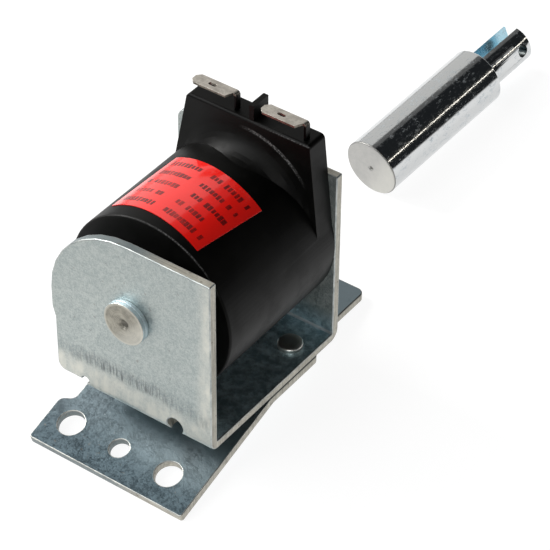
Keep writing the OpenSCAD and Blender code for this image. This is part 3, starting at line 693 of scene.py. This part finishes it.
# Very dark metal: painted shade in the plunger's cross hole
HOLE_PAINTED_SHADE = fine_metal("hole_wall", rgb(0.03, 0.035, 0.035), rgb(0.12, 0.13, 0.13), 0.35,
                       (400, 400, 400))
BRASS = fine_metal("guide_brass", rgb(0.5, 0.36, 0.13), rgb(0.72, 0.56, 0.26), 0.22,
                   (900, 60, 900))
STEEL = fine_metal("core_steel", rgb(0.38, 0.39, 0.39), rgb(0.6, 0.61, 0.6), 0.3, (900, 900, 900))
COPPER = fine_metal("copper_wire", rgb(0.4, 0.14, 0.05), rgb(0.72, 0.32, 0.14), 0.25,
                    (60, 3200, 60))
NYLON = plain_insulation("bobbin_nylon", rgb(0.02, 0.02, 0.021), rgb(0.032, 0.032, 0.033), 0.4)
TAPE = plain_insulation("coil_tape", rgb(0.55, 0.4, 0.05), rgb(0.68, 0.52, 0.09), 0.3)
SLEEVE = plain_insulation("wire_sleeve", rgb(0.55, 0.52, 0.42), rgb(0.68, 0.65, 0.55), 0.5)


# Helpers for meshes

def new_piece(name, mesh, body, slot, *nodes):
    """Adds a finished piece that rides on a body, in place of the named nodes if there are any."""
    piece = new_object(name, mesh)
    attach(piece, body)
    if nodes:
        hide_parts(*nodes)


def merged_copy(node):
    """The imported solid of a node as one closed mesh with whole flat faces."""
    solid = bmesh.new()
    solid.from_mesh(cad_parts[node].data)
    bmesh.ops.remove_doubles(solid, verts=solid.verts, dist=0.002 * MM)
    bmesh.ops.dissolve_limit(solid, angle_limit=math.radians(0.4), use_dissolve_boundaries=False,
                             verts=solid.verts, edges=solid.edges, delimit={"NORMAL"})
    return solid


def round_edges(solid, width, segments, wanted, material=-1, clamp=True):
    """Rounds the sharp edges for which wanted(middle of the edge) holds."""
    least_angle = math.radians(35)
    edges = []
    for edge in solid.edges:
        if len(edge.link_faces) == 2 and edge.calc_face_angle(0) > least_angle:
            if wanted((edge.verts[0].co + edge.verts[1].co) / 2):
                edges.append(edge)
    bmesh.ops.bevel(solid, geom=edges, offset=width, offset_type="OFFSET", segments=segments,
                    profile=0.5, affect="EDGES", clamp_overlap=clamp, material=material)


def every_edge(middle):
    return True


def finished_mesh(name, solid, materials, sharp=40, crease=()):
    """Smooth-shaded mesh with flats kept flat, and with the listed edges kept sharp."""
    mesh = bpy.data.meshes.new(name)
    solid.to_mesh(mesh)
    solid.free()
    for material in materials:
        mesh.materials.append(material)
    mesh.shade_smooth()
    mesh.set_sharp_from_angle(angle=math.radians(sharp))
    for index in crease:
        mesh.edges[index].use_edge_sharp = True
    shell = new_object(name + "_shell", mesh)
    weigh = shell.modifiers.new("weigh", "WEIGHTED_NORMAL")
    weigh.mode = "FACE_AREA"
    weigh.weight = 90
    weigh.keep_sharp = True
    return baked(shell, name)


def baked(shell, name):
    """Plain mesh from an object with modifiers, which is then removed."""
    depsgraph = bpy.context.evaluated_depsgraph_get()
    mesh = bpy.data.meshes.new_from_object(shell.evaluated_get(depsgraph), depsgraph=depsgraph)
    mesh.name = name
    old = shell.data
    bpy.data.objects.remove(shell)
    if old.users == 0:
        bpy.data.meshes.remove(old)
    return mesh


def own_face(face, to_own):
    """Middle and normal of a face in the own directions of the unit or of the plunger."""
    return to_own @ face.calc_center_median(), to_own.to_3x3() @ face.normal


# Bent sheet pieces

def paint_sheet(solid, across):
    """Gives faces that cut through the sheet the second finish. across(middle) is its normal."""
    for face in solid.faces:
        middle, normal = own_face(face, ROW_TO_UNIT)
        if abs(normal.dot(across(middle))) < 0.4:
            face.material_index = 1


def frame_across(middle):
    """Normal of the frame's sheet: along Y in the plates, up in the base, turning in the bends."""
    if middle.z > BEND_END:
        return Vector((0, 1, 0))
    if middle.z < SHEET + NEAR and BEND_END < middle.y < FRAME_LEN - BEND_END:
        return Vector((0, 0, 1))
    bend_y = BEND_MIDDLE if middle.y < FRAME_LEN / 2 else FRAME_LEN - BEND_MIDDLE
    return Vector((0, middle.y - bend_y, middle.z - BEND_MIDDLE)).normalized()


def plate_across(middle):
    """Normal of the mounting plate's sheet: up behind its bend, sloping in the tab."""
    if middle.y > PLATE_BEND_Y:
        return Vector((0, 0, 1))
    return Vector((0, -math.sin(TAB_ANGLE), math.cos(TAB_ANGLE)))


def blade_across(middle):
    """Normal of a blade's sheet: up."""
    return Vector((0, 0, 1))


def bend_frame():
    solid = merged_copy("u_frame")
    paint_sheet(solid, frame_across)
    round_edges(solid, FRAME_ROUND, 3, every_edge, material=2, clamp=False)
    mesh = finished_mesh("bent_frame", solid, [ZINC_FRAME, CUT_EDGE, FRAME_CORNER])
    new_piece("bent_frame", mesh, "unit", "zinc_frame", "u_frame")


def bend_plate():
    solid = merged_copy("mounting_plate")
    paint_sheet(solid, plate_across)
    round_edges(solid, PLATE_ROUND, 2, every_edge, material=2, clamp=False)
    mesh = finished_mesh("foot_plate", solid, [ZINC_PLATE, CUT_EDGE, PLATE_CORNER])
    new_piece("foot_plate", mesh, "unit", "zinc_plate", "mounting_plate")


# Moulded coil, blades and plunger

def mould_coil():
    """The moulding with its upper outer edges rounded and the saddle's foot kept sharp."""
    solid = merged_copy("coil_housing")
    upper_h, outside_r, back = AXIS_H + 20 * MM, COIL_R - 1.4 * MM, COIL_BACK - 0.2 * MM

    def upper_outside(middle):
        own = ROW_TO_UNIT @ middle
        from_axis = math.hypot(own.x, own.z - AXIS_H)
        return own.z > upper_h and from_axis > outside_r and own.y < back

    def saddle_foot(edge):
        if len(edge.link_faces) != 2 or edge.calc_face_angle(0) < math.radians(1.5):
            return False
        slopes = [abs(own_face(face, ROW_TO_UNIT)[1].y) for face in edge.link_faces]
        return min(slopes) < 0.005 and 0.02 < max(slopes) < 0.7

    round_edges(solid, COIL_ROUND, 2, upper_outside)
    solid.edges.index_update()
    crease = [edge.index for edge in solid.edges if saddle_foot(edge)]
    mesh = finished_mesh("coil_moulding", solid, [BLACK], 10, crease)
    new_piece("coil_moulding", mesh, "unit", "black_moulding", "coil_housing")


def press_blade(node, name):
    solid = merged_copy(node)
    round_edges(solid, BLADE_ROUND, 2, every_edge)
    paint_sheet(solid, blade_across)
    mesh = finished_mesh(name, solid, [BLADE, BLADE_EDGE])
    new_piece(name, mesh, "unit", "tinned_blade", node)


def turn_plunger():
    """The plunger with its turned inner end, the blue of its slot and painted shade in its hole."""
    solid = merged_copy("plunger")
    for face in solid.faces:
        own, normal = own_face(face, ROW_TO_PLUNGER)
        in_slot = own.y > PLUNGER_BODY_LEN - NEAR and abs(own.x) < CLEVIS_SLOT / 2 + NEAR
        from_hole = math.hypot(own.y - CROSS_HOLE_Y, own.z)
        if own.y < PLUNGER_END and normal.y < -0.3:
            face.material_index = 1
        elif in_slot and max(abs(normal.x), normal.y) > 0.9:
            face.material_index = 2
        elif abs(normal.x) < 0.3 and from_hole < CROSS_HOLE_R + 0.05 * MM:
            face.material_index = 3
    finishes = [PLUNGER_SKIN, PLUNGER_FACE, SLOT_BLUE, HOLE_PAINTED_SHADE]
    mesh = finished_mesh("drawn_plunger", solid, finishes)
    new_piece("drawn_plunger", mesh, "plunger_body", "bright_plunger", "plunger")


# Pieces that follow a rule, made with geometry nodes

def new_tree(name, **kinds):
    """Geometry tree with named inputs of these kinds, their identifiers and their sockets."""
    tree = bpy.data.node_groups.new(name, "GeometryNodeTree")
    names = {}
    for label, kind in kinds.items():
        label = label.replace("_", " ")
        socket = tree.interface.new_socket(name=label, in_out="INPUT",
                                           socket_type="NodeSocket" + kind)
        names[label] = socket.identifier
    tree.interface.new_socket(name="Geometry", in_out="OUTPUT", socket_type="NodeSocketGeometry")
    return tree, names, tree.nodes.new("NodeGroupInput").outputs


def finish_tree(tree, last, ins):
    """Ends a tree with its finish set on what the last node puts out."""
    dressed = add(tree, "GeometryNodeSetMaterial", {
        "Geometry": last.outputs[0], "Material": ins["Finish"]})
    out = tree.nodes.new("NodeGroupOutput")
    tree.links.new(dressed.outputs[0], out.inputs[0])


def make_lathe_tree():
    """Turns profile points (radius, 0, height) round Z and sets the result on a row of places."""
    tree, names, ins = new_tree(
        "lathe", Profile="Geometry", Segments="Int", Count="Int", First_Place="Vector",
        Step="Vector", Turn="Rotation", Finish="Material")
    size = add(tree, "GeometryNodeAttributeDomainSize", {"Geometry": ins["Profile"]})
    across = math_node(tree, "ADD", ins["Segments"], 1)
    grid = add(tree, "GeometryNodeMeshGrid", {
        "Vertices X": size.outputs["Point Count"], "Vertices Y": across})
    index = tree.nodes.new("GeometryNodeInputIndex").outputs[0]
    place_in_grid = math_node(tree, "DIVIDE", math_node(tree, "ADD", index, 0.5), across)
    row = math_node(tree, "FLOOR", place_in_grid)
    column = math_node(tree, "SUBTRACT", index, product(tree, row, across))
    angle = math_node(tree, "DIVIDE", product(tree, column, math.tau), ins["Segments"])
    position = tree.nodes.new("GeometryNodeInputPosition").outputs[0]
    sample = add(tree, "GeometryNodeSampleIndex",
                 {"Geometry": ins["Profile"], "Value": position, "Index": row},
                 data_type="FLOAT_VECTOR", domain="POINT").outputs[0]
    radius, _, height = split(tree, sample)
    turned = add(tree, "ShaderNodeCombineXYZ", {
        0: product(tree, radius, math_node(tree, "COSINE", angle)),
        1: product(tree, radius, math_node(tree, "SINE", angle)),
        2: height})
    skin = add(tree, "GeometryNodeSetPosition", {
        "Geometry": grid.outputs["Mesh"], "Position": turned.outputs[0]})
    closed = add(tree, "GeometryNodeMergeByDistance", {
        "Geometry": skin.outputs[0], "Distance": 0.001 * MM})
    places = add(tree, "GeometryNodeMeshLine", {
        "Count": ins["Count"], "Start Location": ins["First Place"], "Offset": ins["Step"]})
    copies = add(tree, "GeometryNodeInstanceOnPoints", {
        "Points": places.outputs[0], "Instance": closed.outputs[0], "Rotation": ins["Turn"]})
    real = add(tree, "GeometryNodeRealizeInstances", {"Geometry": copies.outputs[0]})
    finish_tree(tree, real, ins)
    return tree, names


LATHE, LATHE_NAMES = make_lathe_tree()


def run_tree(shell, tree, names, values):
    """Plain mesh that a tree makes from an object with the given inputs."""
    maker = shell.modifiers.new("maker", "NODES")
    maker.node_group = tree
    for label, value in values.items():
        maker[names[label]] = value
    return baked(shell, shell.name)


def lathe(name, profile, finish, first, turn, segments, step=(0, 0, 0), count=1):
    """Closed bmesh of a profile of (radius, height) points, turned and set on its places."""
    line = bpy.data.meshes.new(name)
    points = [(radius, 0, height) for radius, height in profile]
    line.from_pydata(points, [(i, i + 1) for i in range(len(points) - 1)], [])
    mesh = run_tree(new_object(name, line), LATHE, LATHE_NAMES, {
        "Segments": segments, "Count": count, "First Place": first, "Step": step, "Turn": turn,
        "Finish": finish})
    solid = bmesh.new()
    solid.from_mesh(mesh)
    bpy.data.meshes.remove(mesh)
    bmesh.ops.recalc_face_normals(solid, faces=solid.faces)
    return solid


def arc(centre, radius, start, end, steps):
    """Points of a profile along an arc, angles in degrees from outwards to upwards."""
    points = []
    for i in range(steps + 1):
        angle = math.radians(start + (end - start) * i / steps)
        points.append((centre[0] + radius * math.cos(angle), centre[1] + radius * math.sin(angle)))
    return points


def set_rivets():
    """Two rivets through base and plate: low domed heads above, closed flush below."""
    shank, head, crown, ease = 2.5 * MM, 4.2 * MM, 0.6 * MM, 0.15 * MM
    under, top = -3 * MM, 4.7 * MM
    profile = [(0, under), (shank - ease, under), (shank, under + ease), (shank, SHEET),
               (head - 0.1 * MM, SHEET)]
    profile += arc((head - crown, top - crown), crown, -35, 80, 10)
    profile += [(head * 0.55, top - 0.02 * MM), (head * 0.25, top), (0, top)]
    solid = lathe("base_rivets", profile, RIVET, UNIT_TO_ROW @ RIVET_RIGHT, (-LEAN, 0, 0),
                  segments=72, step=RIVET_STEP, count=2)
    mesh = finished_mesh("base_rivets", solid, [RIVET])
    new_piece("base_rivets", mesh, "unit", "rivet_steel", "rivet_left", "rivet_right")


# Where the coil's axis leaves the front plate, and the turn that lays a lathe's Z along it
AXIS_AT = UNIT_TO_ROW @ Vector((0, 0, AXIS_H))
ALONG_COIL = (math.radians(90) - LEAN, 0, 0)
CORE_SEGMENTS = 120


def turn_core():
    """Fixed core: riveted head with a centre mark, spigot and pole inside the guide tube."""
    head, edge, front, foot = CORE_HEAD_R, 0.3 * MM, 2.8 * MM, 0.12 * MM
    mark, mark_depth, mark_tip, spigot = 1.9 * MM, 1.15 * MM, 0.5 * MM, 5 * MM
    pole, back, chamfer = 10.5 * MM, -25 * MM, 0.3 * MM
    pocket, pocket_in = 8.05 * MM, 0.4 * MM
    profile = [(0, back + pocket_in), (pocket, back + pocket_in), (pocket, back),
               (pole - chamfer, back), (pole, back + chamfer), (pole, -SHEET), (spigot, -SHEET),
               (spigot, CORE_WASHER_T), (head - foot, CORE_WASHER_T),
               (head, CORE_WASHER_T + foot)]
    profile += arc((head - edge, front - edge), edge, 0, 90, 6)
    profile += [(head * 0.72, front), (mark + 0.5 * MM, front), (mark, front - 0.12 * MM),
                (mark * 0.72, front - 0.7 * MM), (mark_tip, front - mark_depth + 0.2 * MM),
                (0, front - mark_depth)]
    solid = lathe("riveted_core", profile, CORE_RIM, AXIS_AT, ALONG_COIL, CORE_SEGMENTS)
    for face in solid.faces:
        own, normal = own_face(face, ROW_TO_UNIT)
        face.material_index = 1 if normal.y < -0.6 and own.y < -CORE_WASHER_T - NEAR else 0
    mesh = finished_mesh("riveted_core", solid, [CORE_RIM, CORE_FACE])
    new_piece("riveted_core", mesh, "unit", "core_steel", "fixed_core")


def turn_washer():
    inner, outer, thick, edge = 5.05 * MM, CORE_HEAD_R, CORE_WASHER_T, 0.2 * MM
    profile = [(inner, 0), (outer - edge, 0)] + arc((outer - edge, edge), edge, -90, 0, 4)
    profile += arc((outer - edge, thick - edge), edge, 0, 90, 4) + [(inner, thick), (inner, 0)]
    solid = lathe("core_ring", profile, CORE_RIM, AXIS_AT, ALONG_COIL, CORE_SEGMENTS)
    mesh = finished_mesh("core_ring", solid, [CORE_RIM])
    new_piece("core_ring", mesh, "unit", "core_steel", "core_washer")


# Label

LABEL_W = 35 * MM
LABEL_LEN = 28.4 * MM
LABEL_MID_Y = 29 * MM
LABEL_TURN = math.radians(5.5)
LABEL_OUT_R = COIL_R + 0.225 * MM
LABEL_IN_R = COIL_R + 0.025 * MM


def on_label(across, along, radius):
    """Point on the coil, from the label's own directions seen from above."""
    x = across * math.cos(LABEL_TURN) + along * math.sin(LABEL_TURN)
    y = LABEL_MID_Y - across * math.sin(LABEL_TURN) + along * math.cos(LABEL_TURN)
    return UNIT_TO_ROW @ Vector((x, y, AXIS_H + math.sqrt(radius * radius - x * x)))


def stick_label():
    """Thin film on the coil: an upper and an under sheet of points, closed round the rim."""
    columns, rows = 56, 12
    solid = bmesh.new()

    def point(i, j, radius):
        across = LABEL_W * (i / columns - 0.5)
        along = LABEL_LEN * (j / rows - 0.5)
        return solid.verts.new(on_label(across, along, radius))

    top, under = [[[point(i, j, radius) for j in range(rows + 1)] for i in range(columns + 1)]
                  for radius in (LABEL_OUT_R, LABEL_IN_R)]
    for i in range(columns):
        for j in range(rows):
            for sheet in (top, under):
                near, far = sheet[i], sheet[i + 1]
                solid.faces.new((near[j], far[j], far[j + 1], near[j + 1]))
    rim = ([(i, 0) for i in range(columns)] + [(columns, j) for j in range(rows)]
           + [(i, rows) for i in range(columns, 0, -1)] + [(0, j) for j in range(rows, 0, -1)])
    for (i, j), (k, l) in zip(rim, rim[1:] + rim[:1]):
        solid.faces.new((top[i][j], top[k][l], under[k][l], under[i][j]))
    bmesh.ops.recalc_face_normals(solid, faces=solid.faces)
    mesh = finished_mesh("red_label", solid, [LABEL_RED])
    new_piece("red_label", mesh, "unit", "red_label", "label")


def make_print_tree():
    """Rows of plain dashes on the label: random lengths, wrapped round the coil."""
    tree, names, ins = new_tree(
        "label_print", Geometry="Geometry", Rows="Int", Dashes="Int", Row_Length="Float",
        Row_Pitch="Float", Dash_Height="Float", Radius="Float", Seed="Int", Finish="Material")

    # Places of the dashes, with a few left out and a gap near the middle
    depth = product(tree, ins["Row Pitch"], math_node(tree, "SUBTRACT", ins["Rows"], 1))
    spots = add(tree, "GeometryNodeMeshGrid", {
        "Size X": ins["Row Length"], "Size Y": depth,
        "Vertices X": ins["Dashes"], "Vertices Y": ins["Rows"]})
    points = add(tree, "GeometryNodeMeshToPoints", {"Mesh": spots.outputs["Mesh"]})
    keep = add(tree, "FunctionNodeRandomValue", {"Probability": 0.88, "Seed": ins["Seed"]},
               data_type="BOOLEAN")
    left_out = add(tree, "FunctionNodeBooleanMath", {0: keep.outputs[3]}, operation="NOT")
    along_row = split(tree, tree.nodes.new("GeometryNodeInputPosition").outputs[0])[0]
    between = math_node(tree, "COMPARE", along_row, -1.5 * MM, 1.7 * MM)
    drop = add(tree, "FunctionNodeBooleanMath", {0: left_out.outputs[0], 1: between},
               operation="OR")
    filled = add(tree, "GeometryNodeDeleteGeometry", {
        "Geometry": points.outputs[0], "Selection": drop.outputs[0]}, domain="POINT")

    # Dashes of random size on those places
    pitch = math_node(tree, "DIVIDE", ins["Row Length"], ins["Dashes"])
    dash = add(tree, "GeometryNodeMeshGrid", {
        "Size X": pitch, "Size Y": ins["Dash Height"], "Vertices X": 5, "Vertices Y": 2})
    low = add(tree, "ShaderNodeCombineXYZ", {0: 0.6, 1: 0.75, 2: 1}).outputs[0]
    high = add(tree, "ShaderNodeCombineXYZ", {0: 0.95, 1: 1.1, 2: 1}).outputs[0]
    size = add(tree, "FunctionNodeRandomValue", {0: low, 1: high, "Seed": ins["Seed"]},
               data_type="FLOAT_VECTOR")
    copies = add(tree, "GeometryNodeInstanceOnPoints", {
        "Points": filled.outputs[0], "Instance": dash.outputs["Mesh"], "Scale": size.outputs[0]})
    real = add(tree, "GeometryNodeRealizeInstances", {"Geometry": copies.outputs[0]})

    # Turned as the label is, and laid on the coil
    position = tree.nodes.new("GeometryNodeInputPosition").outputs[0]
    turned = add(tree, "ShaderNodeVectorRotate", {"Vector": position, "Angle": -LABEL_TURN},
                 rotation_type="Z_AXIS").outputs[0]
    x, y, _ = split(tree, turned)
    square = math_node(tree, "SUBTRACT", product(tree, ins["Radius"], ins["Radius"]),
                       product(tree, x, x))
    lifted = add(tree, "ShaderNodeCombineXYZ", {0: x, 1: y, 2: math_node(tree, "SQRT", square)})
    wrapped = add(tree, "GeometryNodeSetPosition", {
        "Geometry": real.outputs[0], "Position": lifted.outputs[0]})
    finish_tree(tree, wrapped, ins)
    return tree, names


def print_label():
    tree, names = make_print_tree()
    shell = new_object("label_dashes", bpy.data.meshes.new("label_dashes"))
    mesh = run_tree(shell, tree, names, {
        "Rows": 5, "Dashes": 23, "Row Length": 30 * MM, "Row Pitch": 5.2 * MM,
        "Dash Height": 2.2 * MM, "Radius": LABEL_OUT_R + 0.02 * MM, "Seed": 4,
        "Finish": LABEL_INK})
    mesh.transform(UNIT_TO_ROW @ Matrix.Translation((0, LABEL_MID_Y, AXIS_H)))
    mesh.shade_smooth()
    new_piece("label_dashes", mesh, "unit", "red_label")


# Pieces kept as they are packed, with their finish

KEPT_FINISHES = {
    "pole_shim": BRASS,
    "guide_tube": BRASS,
    "flux_bushing": STEEL,
    "bobbin": NYLON,
    "winding": COPPER,
    "insulation_tape": TAPE,
    "lead_start": COPPER,
    "lead_finish": COPPER,
    "sleeve_start": SLEEVE,
    "sleeve_finish": SLEEVE,
}


def dress_kept_nodes():
    for node, finish in KEPT_FINISHES.items():
        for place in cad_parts[node].material_slots:
            place.material = finish


def lay_floor():
    half = 3.0
    corners = [(-half, -half, 0), (half, -half, 0), (half, half, 0), (-half, half, 0)]
    sheet = bpy.data.meshes.new("floor")
    sheet.from_pydata(corners, [], [(0, 1, 2, 3)])
    sheet.materials.append(floor_white())
    new_object("floor", sheet)


place_camera()
lay_floor()
light_studio()
bend_frame()
bend_plate()
set_rivets()
turn_core()
turn_washer()
mould_coil()
press_blade("terminal_left", "blade_left")
press_blade("terminal_right", "blade_right")
stick_label()
print_label()
turn_plunger()
dress_kept_nodes()
